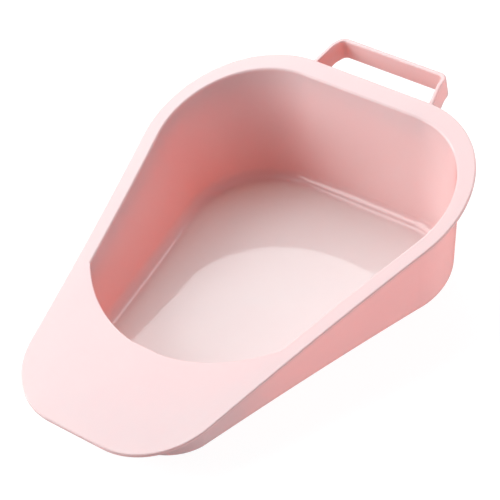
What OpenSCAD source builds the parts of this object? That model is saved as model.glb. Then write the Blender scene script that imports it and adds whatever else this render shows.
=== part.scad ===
// Slipper (fracture) bedpan: a wedge-shaped basin with a sloping rim band, a broad
// low front lip that roofs the front of the basin, and a strap handle behind it.
// Every outline is worked out with the front edge along X at y = 0 and the rear of
// the rim at y = rim_length. placed() then centres the pan on the Y axis, and it
// stands on z = 0. Millimetres throughout.

/* [Overall size] */
// Length of the rim from the front edge to the rear edge, handle not included
rim_length = 335; // [310:1:360]
// Height of the rim's top plane at the front edge
front_height = 24.4; // [20:0.1:32]
// Slope of the rim's top plane, in degrees
rim_pitch = 11.9; // [8:0.1:14]

/* [Plan outline] */
// Half width where the side line meets the front line, before rounding
front_half = 73; // [68:1:84]
// Half width where the side line meets the rear line, before rounding
rear_half = 165; // [158:1:170]
// Radius of the front corners
front_radius = 63; // [50:1:70]
// Radius of the rear corners
rear_radius = 86.5; // [80:0.5:94]
// Depth by which each long side bows inwards at its middle
side_bow = 4.3; // [0:0.1:6]

/* [Rim and lip] */
// Width of the rim band along the sides
side_rim = 12.3; // [10:0.1:16]
// Width of the rim band at the rear
rear_rim = 15; // [10:0.1:18]
// Thickness of the rim band and the lip
plate = 2.6; // [2:0.1:4]
// Distance from the front edge to the middle of the opening's front arc
lip_depth = 76.4; // [66:0.1:86]
// Distance from the front edge to the ends of that arc
shoulder = 116; // [108:1:124]

/* [Basin] */
// Thickness of the walls and the floor
wall = 2.6; // [2:0.1:3.5]
// Draft of the walls, in degrees
draft = 9.4; // [6:0.1:11]
// Radius of the inside cove between wall and floor
cove = 9; // [6:0.5:12]
// Extra rake of the wall round the front
front_rake = 8.5; // [4:0.1:10]

/* [Handle] */
// Outside width of the handle where its arms leave the rim
handle_root = 119; // [112:1:124]
// Outside width of the grip
handle_width = 105; // [96:0.5:110]
// Distance that the grip stands behind the rim
handle_reach = 29.3; // [26:0.1:36]
// Height of the grip's top above the rear of the rim
handle_rise = 3.4; // [0:0.1:5]
// Height of the strap
strap_h = 15.8; // [10:0.1:18]
// Thickness of the strap
strap_t = 3.7; // [2.6:0.1:4.5]
// Outer corner radius of the strap
strap_r = 7.8; // [5:0.1:10]

/* [Hidden] */
$fn = 48;
pink = [0.93, 0.78, 0.80];
slope = tan(rim_pitch);
lean = tan(draft);
// The side line leaves the Y axis by this angle.
flare = atan((rear_half - front_half) / rim_length);
front_cx = front_half - front_radius * tan((90 - flare) / 2);
rear_cx = rear_half - rear_radius * tan((90 + flare) / 2);
rear_cy = rim_length - rear_radius;
middle_y = (rim_length + handle_reach) / 2;

SIDE_STEPS = 10;
SHOULDER_STEPS = 4;
CORNER_STEPS = 18;
NOSE_STEPS = 12;
COVE_STEPS = 6;
BEND_STEPS = 8;
ARC_FACETS = 180;
// Overrun of a cutting shape past what it cuts
over = 1;

// ---- The plan outline -------------------------------------------------------
// A station is [centre x, centre y, radius, angle of the outward normal]. An inset
// shortens the radius, so every ring of the pan is built from the same stations.
function station(cx, cy, r, a) = [cx, cy, r, a];
function lerp(a, b, t) = a + (b - a) * t;
function rim_z(y) = front_height + slope * y;

// The point of station s that lies d inside the rim's outer edge, in plan
function spot(s, d) =
    let (r = s[2] - d, x = s[0] + r * cos(s[3]), y = s[1] + r * sin(s[3]))
    [x - sign(x) * side_bow * sin(180 * max(0, min(1, y / rim_length))), y];
function at(s, d, z) = let (p = spot(s, d)) [p[0], p[1], z];
// The same point, h above the rim's top plane
function on_rim(s, d, h) = let (p = spot(s, d)) [p[0], p[1], rim_z(p[1]) + h];

// Share of a side from its front corner to its rear corner
function side_station(t) =
    station(lerp(front_cx, rear_cx, t), lerp(front_radius, rear_cy, t),
        lerp(front_radius, rear_radius, t), -flare);
side_y0 = front_radius - (front_radius - side_rim) * sin(flare);
side_y1 = rear_cy - (rear_radius - side_rim) * sin(flare);
shoulder_t = (shoulder - side_y0) / (side_y1 - side_y0);

side_st = [for (i = [0:SIDE_STEPS]) side_station(lerp(shoulder_t, 1, i / SIDE_STEPS))];
shoulder_st = [for (i = [0:SHOULDER_STEPS])
    side_station(lerp(0, shoulder_t, i / SHOULDER_STEPS))];
corner_st = [for (i = [0:CORNER_STEPS])
    station(rear_cx, rear_cy, rear_radius, lerp(-flare, 90, i / CORNER_STEPS))];
nose_st = [for (i = [0:NOSE_STEPS])
    station(front_cx, front_radius, front_radius, lerp(-90, -flare, i / NOSE_STEPS))];
function flip(s) = station(-s[0], s[1], s[2], 180 - s[3]);
function mirrored(list) = [for (i = [len(list) - 1:-1:0]) flip(list[i])];
rear_st = [corner_st[CORNER_STEPS], flip(corner_st[CORNER_STEPS])];
front_st = concat(mirrored(nose_st), nose_st);

module placed() translate([0, -middle_y, 0]) children();

// ---- Sections of the skin ---------------------------------------------------
function rim_width(s) = side_rim * pow(cos(s[3]), 2) + rear_rim * pow(sin(s[3]), 2);
// How far the skin has moved inwards between the rim and height z
function lean_at(s, z) =
    let (y = spot(s, rim_width(s))[1], front = pow(max(0, -sin(s[3])), 2))
    (rim_z(y) - z) * lean + front * front_rake * (1 - z / rim_z(y));
// The cove turns from the wall's draft to the level of the floor, u degrees on
COVE_TURNS = [for (i = [0:COVE_STEPS]) lerp(draft, 90, i / COVE_STEPS)];
// Height at which the inside of the wall runs into the cove
cove_start = wall + cove * (1 - sin(draft));
// How far in, at station s, the axis of the cove lies
function cove_axis(s) = rim_width(s) + lean_at(s, cove_start) + cove * cos(draft);
// The face of the wall and cove that lies t outside the inner one, from under the rim
// down to the edge of the floor
function shell(s, t) = concat([on_rim(s, rim_width(s) - t / cos(draft), -plate)],
    [for (u = COVE_TURNS)
        at(s, cove_axis(s) - (cove + t) * cos(u), wall + cove - (cove + t) * sin(u))]);
function rim_top(s) = [on_rim(s, 0, 0), on_rim(s, rim_width(s), 0)];
function rim_under(s) = [on_rim(s, 0, -plate), on_rim(s, rim_width(s), -plate)];

// A closed skin between an outer and an inner row of chains, one chain a station,
// running along the stations anticlockwise as seen from above
module skin(a, b) {
    n = len(a[0]);
    m = len(a);
    function ia(i, j) = i * n + j;
    function ib(i, j) = (m + i) * n + j;
    function quad(p, q, r, s) = [[p, q, r], [p, r, s]];
    sides = [for (i = [0:m - 2]) for (j = [0:n - 2]) for (f = concat(
        quad(ia(i, j), ia(i + 1, j), ia(i + 1, j + 1), ia(i, j + 1)),
        quad(ib(i, j), ib(i, j + 1), ib(i + 1, j + 1), ib(i + 1, j)))) f];
    edges = [for (i = [0:m - 2]) for (f = concat(
        quad(ia(i, 0), ib(i, 0), ib(i + 1, 0), ia(i + 1, 0)),
        quad(ia(i, n - 1), ia(i + 1, n - 1), ib(i + 1, n - 1), ib(i, n - 1)))) f];
    ends = [for (j = [0:n - 2]) for (f = concat(
        quad(ia(0, j), ia(0, j + 1), ib(0, j + 1), ib(0, j)),
        quad(ia(m - 1, j), ib(m - 1, j), ib(m - 1, j + 1), ia(m - 1, j + 1)))) f];
    polyhedron(concat([for (c = a) for (p = c) p], [for (c = b) for (p = c) p]),
        concat(sides, edges, ends));
}
module wall_part(list) skin([for (s = list) shell(s, wall)], [for (s = list) shell(s, 0)]);
module rim_part(list) skin([for (s = list) rim_under(s)], [for (s = list) rim_top(s)]);

// ---- The mouth and the lip --------------------------------------------------
// The front of the mouth is a circular arc in plan, through the inner corners of the
// two side bands and a point on the middle line.
mouth_corner = spot(side_st[0], rim_width(side_st[0]));
mouth_rise = mouth_corner[1] - lip_depth;
mouth_r = (pow(mouth_corner[0], 2) + pow(mouth_rise, 2)) / (2 * mouth_rise);
function flip_spot(p) = [-p[0], p[1]];
function floor_edge(s) = let (p = shell(s, 0)[len(COVE_TURNS)]) [p[0], p[1]];

// A flat sheet of the rim's thickness and slope
module rim_sheet() {
    y0 = -over;
    y1 = rim_length;
    across() polygon([[y0, rim_z(y0) - plate], [y1, rim_z(y1) - plate],
        [y1, rim_z(y1)], [y0, rim_z(y0)]]);
}
// Carries a side profile, drawn as [y, z], across the pan
module across()
    rotate([90, 0, 90]) translate([0, 0, -rear_half]) linear_extrude(2 * rear_half) children();

// ---- The handle -------------------------------------------------------------
// The strap in plan is a U whose arms close in towards the grip. Its arms run under
// the rim band and end in the rear wall.
arm_angle = atan((handle_root - handle_width) / 2 / handle_reach);
grip_y = rim_length + handle_reach;
grip_top = rim_z(rim_length) + handle_rise;
// Height of the top of the arms where they leave the rim
under = rim_z(rim_length) - plate;
arm_end = grip_y - strap_r - strap_t;
// The arms end inside the wall, a third of its thickness from its inner face.
wall_bite = wall / 3;
function wall_back(z) = rim_length - rear_rim + wall_bite - lean * (under - z);
function bend(r) = [for (i = [0:BEND_STEPS])
    let (a = lerp(-arm_angle, 90, i / BEND_STEPS)) [r * cos(a), r * sin(a)]];
bend_x = handle_width / 2 - strap_r * tan((90 + arm_angle) / 2);
// One half of the strap's edge, from y0 behind the rear corners' centre to the grip
function strap_edge(inset, y0) = concat(
    [[handle_root / 2 + (rim_length - y0) * tan(arm_angle) - inset / cos(arm_angle), y0]],
    [for (p = bend(strap_r - inset)) [bend_x + p[0], grip_y - strap_r + p[1]]]);
function both_sides(list) =
    concat(list, [for (i = [len(list) - 1:-1:0]) flip_spot(list[i])]);
module strap() intersection() {
    linear_extrude(grip_top + over) difference() {
        polygon(both_sides(strap_edge(0, rear_cy)));
        polygon(both_sides(strap_edge(strap_t, rear_cy - over)));
    }
    across() polygon([
        [wall_back(under), rim_z(wall_back(under)) - plate], [rim_length, under],
        [arm_end, grip_top], [grip_y + over, grip_top], [grip_y + over, grip_top - strap_h],
        [arm_end, grip_top - strap_h], [rim_length, under - strap_h],
        [wall_back(under - strap_h), under - strap_h]]);
}
module strap_slice(x0, x1, y0, y1) intersection() {
    strap();
    translate([x0, y0, 0]) cube([x1 - x0, y1 - y0, grip_top + over]);
}

// ---- The named parts --------------------------------------------------------
module wall_right() color(pink) placed() wall_part(side_st);
module wall_left() color(pink) placed() wall_part(mirrored(side_st));
module wall_corner_right() color(pink) placed() wall_part(corner_st);
module wall_corner_left() color(pink) placed() wall_part(mirrored(corner_st));
module wall_rear() color(pink) placed() wall_part(rear_st);
module wall_shoulder_right() color(pink) placed() wall_part(shoulder_st);
module wall_shoulder_left() color(pink) placed() wall_part(mirrored(shoulder_st));
module wall_front() color(pink) placed() wall_part(front_st);
module floor_panel() color(pink) placed() linear_extrude(wall) {
    half = concat(nose_st, [for (i = [1:SHOULDER_STEPS]) shoulder_st[i]],
        [for (i = [1:SIDE_STEPS]) side_st[i]], [for (i = [1:CORNER_STEPS]) corner_st[i]]);
    polygon([for (s = concat(half, mirrored(half))) floor_edge(s)]);
}
module rim_right() color(pink) placed() rim_part(side_st);
module rim_left() color(pink) placed() rim_part(mirrored(side_st));
module rim_corner_right() color(pink) placed() rim_part(corner_st);
module rim_corner_left() color(pink) placed() rim_part(mirrored(corner_st));
module rim_rear() color(pink) placed() rim_part(rear_st);
module lip_front() color(pink) placed() intersection() {
    half = concat(nose_st, [for (i = [1:SHOULDER_STEPS]) shoulder_st[i]]);
    linear_extrude(rim_z(rim_length)) difference() {
        polygon(concat([for (s = concat(mirrored(half), half)) spot(s, 0)],
            [mouth_corner, flip_spot(mouth_corner)]));
        translate([0, lip_depth + mouth_r]) circle(mouth_r, $fn = ARC_FACETS);
    }
    rim_sheet();
}
module handle_arm_right()
    color(pink) placed() strap_slice(0, rear_half, rear_cy, arm_end);
module handle_arm_left()
    color(pink) placed() strap_slice(-rear_half, 0, rear_cy, arm_end);
module handle_grip()
    color(pink) placed() strap_slice(-rear_half, rear_half, arm_end, grip_y + over);

floor_panel();
wall_left();
wall_right();
wall_corner_left();
wall_corner_right();
wall_rear();
wall_shoulder_left();
wall_shoulder_right();
wall_front();
rim_left();
rim_right();
rim_corner_left();
rim_corner_right();
rim_rear();
lip_front();
handle_arm_left();
handle_arm_right();
handle_grip();
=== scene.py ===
# %% [markdown]
# # A slipper bedpan, section by section
# A slipper (or fracture) pan is one shot of pink polypropylene: a wedge-shaped basin with
# a sloping rim band, a broad low lip that roofs its front end, and a strap handle behind.
# The frame holds it as sections that meet face to face. Each section is modelled again
# here at a finer grain, with the rounds and fillets that a mould gives it, and takes the
# place of the plain one.

# %% Load the frame and keep its box
import math
from collections import namedtuple

import bmesh
import bpy
from mathutils import Matrix, Vector


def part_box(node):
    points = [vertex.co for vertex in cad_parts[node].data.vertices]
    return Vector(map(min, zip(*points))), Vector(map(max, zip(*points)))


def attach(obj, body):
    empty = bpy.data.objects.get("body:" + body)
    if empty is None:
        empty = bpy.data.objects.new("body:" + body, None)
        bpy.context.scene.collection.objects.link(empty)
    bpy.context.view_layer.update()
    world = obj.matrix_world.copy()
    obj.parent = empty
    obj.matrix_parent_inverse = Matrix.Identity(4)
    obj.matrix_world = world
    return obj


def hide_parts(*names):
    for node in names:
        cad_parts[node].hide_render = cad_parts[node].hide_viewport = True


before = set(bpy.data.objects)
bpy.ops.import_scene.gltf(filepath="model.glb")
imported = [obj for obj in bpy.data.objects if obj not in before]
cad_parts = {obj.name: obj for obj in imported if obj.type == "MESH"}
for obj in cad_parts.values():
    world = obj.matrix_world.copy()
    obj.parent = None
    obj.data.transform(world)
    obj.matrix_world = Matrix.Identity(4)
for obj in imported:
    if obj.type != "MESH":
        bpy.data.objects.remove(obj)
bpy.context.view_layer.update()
MM = 0.001
print("nodes in the frame:", len(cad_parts))

# %% [markdown]
# ## The camera
# A long lens looks down from the front right, rolled a little so that the lip points to
# the lower left. A look-at constraint always keeps the horizon level, so the camera's
# three axes are worked out here from an azimuth, an elevation and a roll.

# %% Camera
AZIMUTH, ELEVATION, ROLL = (math.radians(a) for a in (48.44, 39.58, -12.12))
DISTANCE = 1780.4 * MM
LOOK_AT = Vector((0, -14.65, 37.22)) * MM
SLIDE = Vector((11.64, 17.46)) * MM
LENS = 183.25

back = Vector((math.sin(AZIMUTH) * math.cos(ELEVATION),
               -math.cos(AZIMUTH) * math.cos(ELEVATION), math.sin(ELEVATION)))
level = Vector((math.cos(AZIMUTH), math.sin(AZIMUTH), 0))
across = Matrix.Rotation(ROLL, 3, back) @ level
above = back.cross(across)
camera = bpy.data.objects.new("camera", bpy.data.cameras.new("camera"))
camera.data.lens = LENS
camera.matrix_world = Matrix.Translation(
    LOOK_AT + SLIDE.x * across + SLIDE.y * above + DISTANCE * back
) @ Matrix((across, above, back)).transposed().to_4x4()
bpy.context.collection.objects.link(camera)
bpy.context.scene.camera = camera
print("camera at", tuple(round(v, 3) for v in camera.location))

# %% [markdown]
# ## The dimensions
# These are the frame's own driving dimensions. Distances along the pan are counted from
# the front edge of the lip, and one number from the frame, the place of that edge, turns
# them into places in the frame.

# %% Driving dimensions
RIM_LENGTH, FRONT_HEIGHT = 335 * MM, 24.4 * MM
SLOPE = math.tan(math.radians(11.9))
FRONT_HALF, REAR_HALF = 73 * MM, 165 * MM
FRONT_RADIUS, REAR_RADIUS = 63 * MM, 86.5 * MM
SIDE_BOW = 4.3 * MM
SIDE_RIM, REAR_RIM = 12.3 * MM, 15 * MM
PLATE, WALL, COVE = 2.6 * MM, 2.6 * MM, 9 * MM
LIP_DEPTH, SHOULDER = 76.4 * MM, 116 * MM
DRAFT = math.radians(9.4)
LEAN = math.tan(DRAFT)
FRONT_RAKE = 8.5 * MM
FRONT_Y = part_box("lip_front")[0].y
print("front edge at y =", round(FRONT_Y, 4))

# %% [markdown]
# ## Stations round the outline
# Every section follows one outline. A station is a place on it: the centre and radius of
# the corner that it turns on, and the direction in which it faces. An inset shortens the
# radius, so the same stations give the rim's outer edge, the wall and the floor's edge.
# Two stations lie close together wherever a curve begins, so that smooth shading keeps
# the straight stretch beside it flat.

# %% Station helpers
Station = namedtuple("Station", "x y r angle")
FLARE = math.atan((REAR_HALF - FRONT_HALF) / RIM_LENGTH)
FRONT_CX = FRONT_HALF - FRONT_RADIUS * math.tan((math.pi / 2 - FLARE) / 2)
REAR_CX = REAR_HALF - REAR_RADIUS * math.tan((math.pi / 2 + FLARE) / 2)
REAR_CY = RIM_LENGTH - REAR_RADIUS


def lerp(a, b, t):
    return a + (b - a) * t


def steps(a, b, count):
    """Even steps from a to b, both ends included."""
    return [lerp(a, b, i / count) for i in range(count + 1)]


def rim_z(y):
    return FRONT_HEIGHT + SLOPE * y


def side_station(t):
    """A place on the straight side, from 0 at the front corner to 1 at the rear one."""
    return Station(lerp(FRONT_CX, REAR_CX, t), lerp(FRONT_RADIUS, REAR_CY, t),
                   lerp(FRONT_RADIUS, REAR_RADIUS, t), -FLARE)


def flip(s):
    return Station(-s.x, s.y, s.r, math.pi - s.angle)


def mirrored(stations):
    """The same stations on the left, in order, so that the outline still goes one way round."""
    return [flip(s) for s in reversed(stations)]


def spot(s, inset):
    """The point of a station that lies inset from the rim's outer edge, in plan."""
    x = s.x + (s.r - inset) * math.cos(s.angle)
    y = s.y + (s.r - inset) * math.sin(s.angle)
    share = min(1, max(0, y / RIM_LENGTH))
    return Vector((x - math.copysign(SIDE_BOW * math.sin(math.pi * share), x), y, 0))


def place(p, z):
    """A point of the plan at height z, in the frame."""
    return Vector((p.x, p.y + FRONT_Y, z))


# %% The stations of each section
HOLD = 0.6 * MM
NEAR = HOLD / RIM_LENGTH
SIDE_STEPS, SHOULDER_STEPS, CORNER_STEPS, NOSE_STEPS = 40, 20, 72, 48
front_end, rear_end = (side_station(t).y - (side_station(t).r - SIDE_RIM) * math.sin(FLARE)
                       for t in (0, 1))
SHOULDER_T = (SHOULDER - front_end) / (rear_end - front_end)
side = [side_station(t) for t in steps(SHOULDER_T, 1 - NEAR, SIDE_STEPS)]
shoulder = [side_station(t) for t in steps(NEAR, SHOULDER_T, SHOULDER_STEPS)]
corner = [side[-1]] + [Station(REAR_CX, REAR_CY, REAR_RADIUS, a)
                       for a in steps(-FLARE, math.pi / 2, CORNER_STEPS)]
corner.append(Station(REAR_CX - HOLD, REAR_CY, REAR_RADIUS, math.pi / 2))
rear = [corner[-1], flip(corner[-1])]
nose = [Station(FRONT_CX - HOLD, FRONT_RADIUS, FRONT_RADIUS, -math.pi / 2)]
nose += [Station(FRONT_CX, FRONT_RADIUS, FRONT_RADIUS, a)
         for a in steps(-math.pi / 2, -FLARE, NOSE_STEPS)] + [shoulder[0]]
front = mirrored(nose) + nose
print("stations on one side:", len(nose) + len(shoulder) + len(side) + len(corner))

# %% [markdown]
# ## The plastic
# Pink polypropylene is glossy but soft: light goes through a wall 2.6 mm thick and comes
# out a deep salmon, which is what makes the shaded inside of the pan glow. A Translucent
# shader under the gloss gives that on both faces of the wall. Faint clouds in the tint,
# an uneven gloss and the fine waviness of a moulded face keep it from looking painted.

# %% Node helpers
NOISE_LOW, NOISE_HIGH = 0.3, 0.7


def add(tree, kind, **values):
    """Adds a node and sets its inputs; an underscore stands for a space."""
    made = tree.nodes.new(kind)
    for key, value in values.items():
        made.inputs[key.replace("_", " ")].default_value = value
    return made


def new_material(name):
    mat = bpy.data.materials.new(name)
    mat.use_nodes = True
    mat.node_tree.nodes.clear()
    return mat, mat.node_tree, mat.node_tree.nodes.new("ShaderNodeOutputMaterial")


def noise(tree, where, scale, detail, low, high):
    """Soft noise at a scale per metre, stretched between two values."""
    grain = add(tree, "ShaderNodeTexNoise", Scale=scale, Detail=detail, Roughness=0.5)
    spread = add(tree, "ShaderNodeMapRange", From_Min=NOISE_LOW, From_Max=NOISE_HIGH,
                 To_Min=low, To_Max=high)
    tree.links.new(where.outputs["Object"], grain.inputs["Vector"])
    tree.links.new(grain.outputs["Fac"], spread.inputs["Value"])
    return spread.outputs["Result"]


# %% Plastic
TINT, TINT_DEEP = (0.95, 0.92, 0.925, 1), (0.94, 0.89, 0.90, 1)
GLOW = (0.94, 0.27, 0.17, 1)
THROUGH = 0.43
CLOUD_SCALE, WAVE_SCALE, GLOSS_SCALE = 22, 160, 90
WAVE_STRENGTH, WAVE_HEIGHT = 0.35, 0.05 * MM
GLOSSIEST, DULLEST = 0.03, 0.06


def pan_plastic():
    mat, tree, out = new_material("pink_polypropylene")
    where = tree.nodes.new("ShaderNodeTexCoord")
    clouds = tree.nodes.new("ShaderNodeMix")
    clouds.data_type = "RGBA"
    clouds.inputs["A"].default_value, clouds.inputs["B"].default_value = TINT, TINT_DEEP
    cloudy = noise(tree, where, CLOUD_SCALE, detail=4, low=0, high=1)
    tree.links.new(cloudy, clouds.inputs["Factor"])
    wave = add(tree, "ShaderNodeBump", Strength=WAVE_STRENGTH, Distance=WAVE_HEIGHT)
    wavy = noise(tree, where, WAVE_SCALE, detail=2, low=0, high=1)
    tree.links.new(wavy, wave.inputs["Height"])
    gloss = add(tree, "ShaderNodeBsdfPrincipled", IOR=1.5)
    tree.links.new(clouds.outputs["Result"], gloss.inputs["Base Color"])
    uneven = noise(tree, where, GLOSS_SCALE, detail=3, low=GLOSSIEST, high=DULLEST)
    tree.links.new(uneven, gloss.inputs["Roughness"])
    tree.links.new(wave.outputs["Normal"], gloss.inputs["Normal"])
    through = add(tree, "ShaderNodeBsdfTranslucent", Color=GLOW)
    mix = add(tree, "ShaderNodeMixShader", Fac=THROUGH)
    tree.links.new(gloss.outputs[0], mix.inputs[1])
    tree.links.new(through.outputs[0], mix.inputs[2])
    tree.links.new(mix.outputs[0], out.inputs["Surface"])
    return mat


def open_joint():
    """A clear face, for where one section runs on into the next."""
    mat, tree, out = new_material("open_joint")
    clear = tree.nodes.new("ShaderNodeBsdfTransparent")
    tree.links.new(clear.outputs[0], out.inputs["Surface"])
    return mat


PLASTIC, JOINT = pan_plastic(), open_joint()
print("plastic nodes:", len(PLASTIC.node_tree.nodes))

# %% [markdown]
# ## Sweeping a section along the stations
# Extrusion does the work: the first section is a loop of edges, and each step extrudes
# the loop and moves its new points to the next station's section. Filling the two ends
# closes the piece. The ends are clear, because they are only where one section meets the
# next: the real moulding has no surface there, and light passes along inside it.

# %% Sweep helpers
SHARP = math.radians(40)
JOINT_SLOT = 1


def round_edges(bm, loop):
    """The edges of a closed loop of points."""
    return [bm.edges.get(ends) for ends in zip(loop, loop[1:] + loop[:1])]


def shift_loop(bm, loop, row):
    """Extrudes a closed loop of points to the next row and returns the new loop."""
    made = bmesh.ops.extrude_edge_only(bm, edges=round_edges(bm, loop))["geom"]
    new = {g for g in made if isinstance(g, bmesh.types.BMVert)}
    ahead = [next(e.other_vert(v) for e in v.link_edges if e.other_vert(v) in new) for v in loop]
    for v, p in zip(ahead, row):
        v.co = p
    return ahead


def finish_piece(name, bm):
    """Puts the mesh in an object that rides on the pan and stands for the named node."""
    bmesh.ops.recalc_face_normals(bm, faces=bm.faces)
    bm.normal_update()
    for f in bm.faces:
        f.smooth = True
    for e in bm.edges:
        e.smooth = e.calc_face_angle(0) < SHARP
    mesh = bpy.data.meshes.new(name)
    bm.to_mesh(mesh)
    bm.free()
    piece = bpy.data.objects.new(name + "_moulded", mesh)
    bpy.context.collection.objects.link(piece)
    for material in (PLASTIC, JOINT):
        mesh.materials.append(material)
    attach(piece, "root")
    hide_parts(name)
    print(name, "has", len(mesh.polygons), "faces")
    return piece


def sweep(name, rows):
    """Makes a closed piece whose section follows the rows of points."""
    bm = bmesh.new()
    first = [bm.verts.new(p) for p in rows[0]]
    for a, b in zip(first, first[1:] + first[:1]):
        bm.edges.new((a, b))
    last = first
    for row in rows[1:]:
        last = shift_loop(bm, last, row)
    for end in (first, last):
        bmesh.ops.edgeloop_fill(bm, edges=round_edges(bm, end), mat_nr=JOINT_SLOT)
    return finish_piece(name, bm)


def pair(name, row, stations):
    """Sweeps the right-hand piece and its mirror image."""
    sweep(name + "_right", [row(s) for s in stations])
    sweep(name + "_left", [row(s) for s in mirrored(stations)])


# %% [markdown]
# ## The rim band
# The band is a flat flange, but a moulded edge is never sharp. Its outer edge is rounded
# above and below, and its inner edge rolls over into the wall in a larger round, which
# ends at the wall's own draft so that the two sections share one surface.

# %% Rim section
EDGE_ROUND, MOUTH_ROUND = 0.9 * MM, 1.8 * MM
EDGE_STEPS, MOUTH_STEPS = 6, 10


def arc(radius, start, end, count):
    """Points of an arc between two angles in degrees."""
    return [(radius * math.cos(a), radius * math.sin(a))
            for a in steps(math.radians(start), math.radians(end), count)]


def outer_edge():
    """(inset, height) pairs round the outer edge, from below to above."""
    r = EDGE_ROUND
    low = [(r + a, r - PLATE + h) for a, h in arc(r, 270, 180, EDGE_STEPS)]
    high = [(r + a, h - r) for a, h in arc(r, 180, 90, EDGE_STEPS)]
    return [(r + HOLD, -PLATE)] + low + high + [(r + HOLD, 0)]


def mouth_edge():
    """(inset past the band, height) pairs over the inner edge and down into the wall."""
    m = MOUTH_ROUND
    centre = -LEAN * (PLATE - m) - m / math.cos(DRAFT)
    roll = [(centre + a, h - m)
            for a, h in arc(m, 90, math.degrees(DRAFT), MOUTH_STEPS)]
    return [(centre - HOLD, 0)] + roll + [(0, -PLATE), (-WALL, -PLATE)]


def rim_width(s):
    return lerp(SIDE_RIM, REAR_RIM, math.sin(s.angle) ** 2)


def rim_row(s):
    insets = outer_edge() + [(rim_width(s) + d, h) for d, h in mouth_edge()]
    points = [(spot(s, d), h) for d, h in insets]
    return [place(p, rim_z(p.y) + h) for p, h in points]


# %% Rim band
pair("rim", rim_row, side)
pair("rim_corner", rim_row, corner)
sweep("rim_rear", [rim_row(s) for s in rear])

# %% [markdown]
# ## The basin walls
# A wall falls from under the rim with its draft and turns through the cove into the
# floor. One section goes down the inside, takes a narrow strip of floor with it, and
# comes back up the outside, where a small fillet runs into the underside of the rim.
# The wall goes on round the front, under the lip, where it rakes in more.

# %% Wall section
STRIP, WALL_HOLD, FILLET = 2 * MM, 1.5 * MM, 2 * MM
COVE_STEPS, FILLET_STEPS = 16, 8
COVE_TURNS = steps(DRAFT, math.pi / 2, COVE_STEPS)
COVE_START = WALL + COVE * (1 - math.sin(DRAFT))
print("the cove starts", round(COVE_START / MM, 1), "mm up")


def lean_at(s, z):
    """How far the wall has moved inwards between the rim and height z."""
    top = rim_z(spot(s, rim_width(s)).y)
    front = max(0, -math.sin(s.angle)) ** 2
    return (top - z) * LEAN + front * FRONT_RAKE * (1 - z / top)


def wall_face(s, outside):
    """(inset, height) pairs down one face of the wall, to the strip of floor."""
    axis = rim_width(s) + lean_at(s, COVE_START) + COVE * math.cos(DRAFT)
    r = COVE + outside
    foot = [(axis - r * math.cos(u), WALL + COVE - r * math.sin(u)) for u in COVE_TURNS]
    top = rim_width(s) - outside / math.cos(DRAFT)
    top_z = rim_z(spot(s, top).y) - PLATE
    drop = top_z - foot[0][1]
    near = WALL_HOLD / drop
    straight = [(lerp(top, foot[0][0], f), top_z - drop * f) for f in (near, 1 - near)]
    head = [(top, top_z)]
    if outside:
        tilt = math.atan((foot[0][0] - top) / drop)
        centre = top + FILLET * (math.tan(tilt) - 1 / math.cos(tilt))
        head = [(centre + a, top_z - FILLET + h)
                for a, h in arc(FILLET, 90, math.degrees(tilt), FILLET_STEPS)]
        straight = straight[1:]
    floor = [(axis + d, foot[-1][1]) for d in (HOLD, STRIP)]
    return head + straight + foot + floor


def wall_row(s):
    points = wall_face(s, 0) + wall_face(s, WALL)[::-1]
    return [place(spot(s, inset), z) for inset, z in points]


# %% Walls
pair("wall", wall_row, side)
pair("wall_corner", wall_row, corner)
pair("wall_shoulder", wall_row, shoulder)
sweep("wall_rear", [wall_row(s) for s in rear])
sweep("wall_front", [wall_row(s) for s in front])

# %% [markdown]
# ## The floor
# The floor is a flat sheet inside the strips that the walls brought with them. One face
# round the whole outline, extruded downwards, is all that it needs.

# %% Floor
UPRIGHT = 0.5


def floor_panel():
    bm = bmesh.new()
    half = nose + shoulder[1:] + side[1:] + corner[1:]
    edge = len(wall_face(side[0], 0)) - 1
    top = bm.faces.new([bm.verts.new(wall_row(s)[edge]) for s in half + mirrored(half)])
    made = bmesh.ops.extrude_face_region(bm, geom=[top], use_keep_orig=True)["geom"]
    low = [g for g in made if isinstance(g, bmesh.types.BMVert)]
    bmesh.ops.translate(bm, verts=low, vec=(0, 0, -WALL))
    bm.normal_update()
    for f in bm.faces:
        if abs(f.normal.z) < UPRIGHT:
            f.material_index = JOINT_SLOT
    return finish_piece("floor_panel", bm)


floor_panel()

# %% [markdown]
# ## The front lip
# The lip is a plate between two outlines: the pan's own outer edge and the arc that cuts
# the front of the mouth. Each row of the sweep runs from a point on the first to the
# point at the same share of the way along the second. The arc's edge is rounded above
# and below, because skin meets it.

# %% Lip
def mouth_arc(share):
    """A point on the arc, from -1 on the left to 1 on the right, and its way inwards."""
    end = spot(side[0], SIDE_RIM)
    rise = end.y - LIP_DEPTH
    r = (end.x ** 2 + rise ** 2) / (2 * rise)
    a = share * math.asin(end.x / r)
    way = Vector((-math.sin(a), math.cos(a), 0))
    return Vector((0, LIP_DEPTH + r, 0)) - r * way, way


def lip_row(s, share):
    p, way = mouth_arc(share)
    if abs(share) == 1:
        way = (spot(s, SIDE_RIM + MM) - spot(s, SIDE_RIM)).normalized()
    inner = [(-d, h) for d, h in outer_edge()[::-1]]
    points = [(spot(s, d), h) for d, h in outer_edge()] + [(p + d * way, h) for d, h in inner]
    return [place(q, rim_z(q.y) + h) for q, h in points]


def lip_rows():
    """A row for each station, at its share of the way round the front."""
    half = nose + shoulder[1:]
    ring = mirrored(half) + half
    gone = [0]
    for a, b in zip(ring, ring[1:]):
        gone.append(gone[-1] + (spot(b, 0) - spot(a, 0)).length)
    return [lip_row(s, 2 * d / gone[-1] - 1) for s, d in zip(ring, gone)]


sweep("lip_front", lip_rows())

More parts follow.
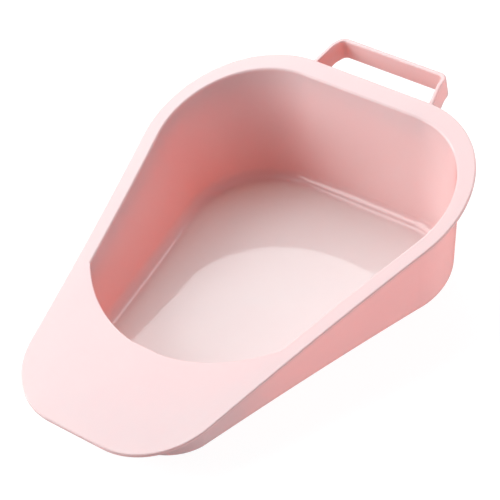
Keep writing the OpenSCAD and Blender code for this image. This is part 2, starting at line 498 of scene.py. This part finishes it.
# %% [markdown]
# ## The strap handle
# The handle is a tall thin strap bent into a U. Its arms come out from under the rim,
# rise a little and close in towards the grip. A rounded section is swept along the outer
# face of the strap: first up an arm, then round the bends and across.

# %% Strap section
HANDLE_ROOT, HANDLE_WIDTH, HANDLE_REACH, HANDLE_RISE = 119 * MM, 105 * MM, 29.3 * MM, 3.4 * MM
STRAP_H, STRAP_T, STRAP_R, STRAP_ROUND = 15.8 * MM, 3.7 * MM, 7.8 * MM, 1.2 * MM
ARM = math.atan((HANDLE_ROOT - HANDLE_WIDTH) / 2 / HANDLE_REACH)
GRIP_Y = RIM_LENGTH + HANDLE_REACH
GRIP_TOP = rim_z(RIM_LENGTH) + HANDLE_RISE
UNDER = rim_z(RIM_LENGTH) - PLATE
ARM_END = GRIP_Y - STRAP_R - STRAP_T
WALL_BITE = WALL / 3
BEND_STEPS, ROUND_STEPS = 24, 5
bend_at = Vector((HANDLE_WIDTH / 2 - STRAP_R * math.tan((math.pi / 2 + ARM) / 2),
                  GRIP_Y - STRAP_R, 0))
arm_way = Vector((math.cos(ARM), math.sin(ARM), 0))
arm_line = Vector((-math.sin(ARM), math.cos(ARM), 0))
print("each arm closes in by", round(math.degrees(ARM), 1), "degrees")


def strap_row(p, way):
    """The strap's section at a point of its outer face; way points outwards."""
    behind = (p.y - RIM_LENGTH) / (ARM_END - RIM_LENGTH)
    top = lerp(UNDER, GRIP_TOP, min(1, behind)) if behind > 0 else rim_z(p.y) - PLATE
    foot = lerp(UNDER, GRIP_TOP, min(1, max(0, behind))) - STRAP_H
    r = STRAP_ROUND
    corners = ((-r, top - r, 0), (r - STRAP_T, top - r, 90), (r - STRAP_T, foot + r, 180),
               (-r, foot + r, 270))
    return [place(p + (d + a) * way, z + h)
            for d, z, start in corners for a, h in arc(r, start, start + 90, ROUND_STEPS)]


def arm_point(y):
    start = bend_at + STRAP_R * arm_way
    return start + arm_line * ((y - start.y) / arm_line.y)


def flip_row(row):
    return [Vector((-p.x, p.y, p.z)) for p in row]


# %% Handle
def arm_rows():
    """Rows up the right arm; the first one leans with the wall that the arm grows from."""
    root_y = RIM_LENGTH - REAR_RIM + WALL_BITE
    middle = lerp(RIM_LENGTH, ARM_END, 0.5)
    ys = (root_y, RIM_LENGTH, RIM_LENGTH + HOLD, middle, ARM_END - HOLD, ARM_END)
    rows = [strap_row(arm_point(y), arm_way) for y in ys]
    for p in rows[0]:
        wall_y = root_y - LEAN * (UNDER - p.z) + FRONT_Y
        p += arm_line * ((wall_y - p.y) / arm_line.y)
    return rows


def grip_rows():
    """Rows round the right bend, and their mirror image round the left one."""
    rows = [strap_row(arm_point(y), arm_way) for y in (ARM_END, ARM_END + HOLD)]
    for a in steps(ARM, math.pi / 2, BEND_STEPS):
        way = Vector((math.cos(a), math.sin(a), 0))
        rows.append(strap_row(bend_at + STRAP_R * way, way))
    rows.append(strap_row(Vector((bend_at.x - HOLD, GRIP_Y, 0)), Vector((0, 1, 0))))
    return rows + [flip_row(row) for row in reversed(rows)]


sweep("handle_arm_right", arm_rows())
sweep("handle_arm_left", [flip_row(row) for row in arm_rows()])
sweep("handle_grip", grip_rows())

# %% [markdown]
# ## The table
# The pan stands on a plain white table. A little light of its own keeps the table near
# white, as on a light table, so that only a faint shadow shows under the pan. A table
# that bright would also light the pan from below, so a Light Path node lets the camera
# see more of that light than the pan gets.

# %% Table
TABLE_HALF = 6
TABLE_GREY, TABLE_ROUGHNESS = 0.15, 0.9
TABLE_SHOWN, TABLE_GLOW = 0.92, 0.4


def table():
    bm = bmesh.new()
    bmesh.ops.create_grid(bm, x_segments=1, y_segments=1, size=TABLE_HALF)
    mesh = bpy.data.meshes.new("table")
    bm.to_mesh(mesh)
    bm.free()
    top = bpy.data.objects.new("table", mesh)
    bpy.context.collection.objects.link(top)
    mat, tree, out = new_material("white_table")
    white = add(tree, "ShaderNodeBsdfPrincipled", Roughness=TABLE_ROUGHNESS,
                Base_Color=(TABLE_GREY, TABLE_GREY, TABLE_GREY, 1), Emission_Color=(1, 1, 1, 1))
    path = tree.nodes.new("ShaderNodeLightPath")
    glow = add(tree, "ShaderNodeMapRange", To_Min=TABLE_GLOW, To_Max=TABLE_SHOWN)
    tree.links.new(path.outputs["Is Camera Ray"], glow.inputs["Value"])
    tree.links.new(glow.outputs["Result"], white.inputs["Emission Strength"])
    tree.links.new(white.outputs[0], out.inputs["Surface"])
    mesh.materials.append(mat)
    print("table", 2 * TABLE_HALF, "m wide")


table()

# %% [markdown]
# ## The light
# Gloss shows whatever stands round it, so the lamps are large softboxes. The key stands
# to the left and a little in front. It lights the rear and right-hand walls and comes
# through the left-hand one. The top one hangs over the left rear and lies in the gloss of
# the floor. A low one behind brightens the outside of the rear corner, and a low cool one
# in front on the right takes some of the warmth out of the near wall.

# %% Softboxes
LIGHT_DISTANCE = 2.2
SOFTBOXES = (
    # name, way to it, width, height, brightness, colour
    ("key_softbox", (-0.75, -0.42, 0.42), 1.8, 1.6, 6.6, (0.96, 0.99, 0.99)),
    ("top_softbox", (-0.50, 0.36, 0.78), 1.9, 1.5, 4.3, (0.93, 0.99, 1)),
    ("rear_softbox", (0.80, 0.60, 0.07), 2.0, 0.4, 9.0, (1, 1, 1)),
    ("fill_softbox", (0.75, -0.6, 0.05), 1.8, 0.3, 3.4, (0.5, 0.85, 1)),
)


def softbox(name, way, width, height, level, colour):
    """Adds a lamp that faces the pan; level is how bright its face is, whatever its size."""
    lamp = bpy.data.lights.new(name, "AREA")
    lamp.color = colour
    lamp.shape, lamp.size, lamp.size_y = "RECTANGLE", width, height
    lamp.energy = level * math.pi * width * height
    box = bpy.data.objects.new(name, lamp)
    way = Vector(way).normalized()
    box.location = way * LIGHT_DISTANCE
    box.rotation_mode = "QUATERNION"
    box.rotation_quaternion = (-way).to_track_quat("-Z", "Y")
    bpy.context.collection.objects.link(box)
    print(name, "stands", LIGHT_DISTANCE, "m away")


for lamp in SOFTBOXES:
    softbox(*lamp)

# %% [markdown]
# ## The dome
# A dome that is bright behind the pan and dim in front of it fills the rest, so that the
# shaded side keeps its depth. The camera sees plain white in its place.

# %% Dome
DOME_WAY = Vector((-0.25, 0.85, 0.45)).normalized()
DOME_RANGE = {"From Min": -0.4, "From Max": 0.95, "To Min": 0.12, "To Max": 0.55}
DOME_COLOUR = (0.90, 0.95, 1.0, 1)


def dome():
    world = bpy.data.worlds.new("studio")
    bpy.context.scene.world = world
    world.use_nodes = True
    tree = world.node_tree
    tree.nodes.clear()
    out = tree.nodes.new("ShaderNodeOutputWorld")
    where = tree.nodes.new("ShaderNodeTexCoord")
    along = tree.nodes.new("ShaderNodeVectorMath")
    along.operation = "DOT_PRODUCT"
    along.inputs[1].default_value = DOME_WAY
    fade = tree.nodes.new("ShaderNodeMapRange")
    fade.interpolation_type = "SMOOTHSTEP"
    for key, value in DOME_RANGE.items():
        fade.inputs[key].default_value = value
    light = add(tree, "ShaderNodeBackground", Color=DOME_COLOUR)
    plain = add(tree, "ShaderNodeBackground", Color=(1, 1, 1, 1), Strength=1)
    path = tree.nodes.new("ShaderNodeLightPath")
    pick = tree.nodes.new("ShaderNodeMixShader")
    tree.links.new(where.outputs["Generated"], along.inputs[0])
    tree.links.new(along.outputs["Value"], fade.inputs["Value"])
    tree.links.new(fade.outputs["Result"], light.inputs["Strength"])
    tree.links.new(path.outputs["Is Camera Ray"], pick.inputs[0])
    tree.links.new(light.outputs[0], pick.inputs[1])
    tree.links.new(plain.outputs[0], pick.inputs[2])
    tree.links.new(pick.outputs[0], out.inputs["Surface"])


dome()
bpy.context.scene.view_settings.view_transform = "Standard"
print("dome brightness from", DOME_RANGE["To Min"], "to", DOME_RANGE["To Max"])
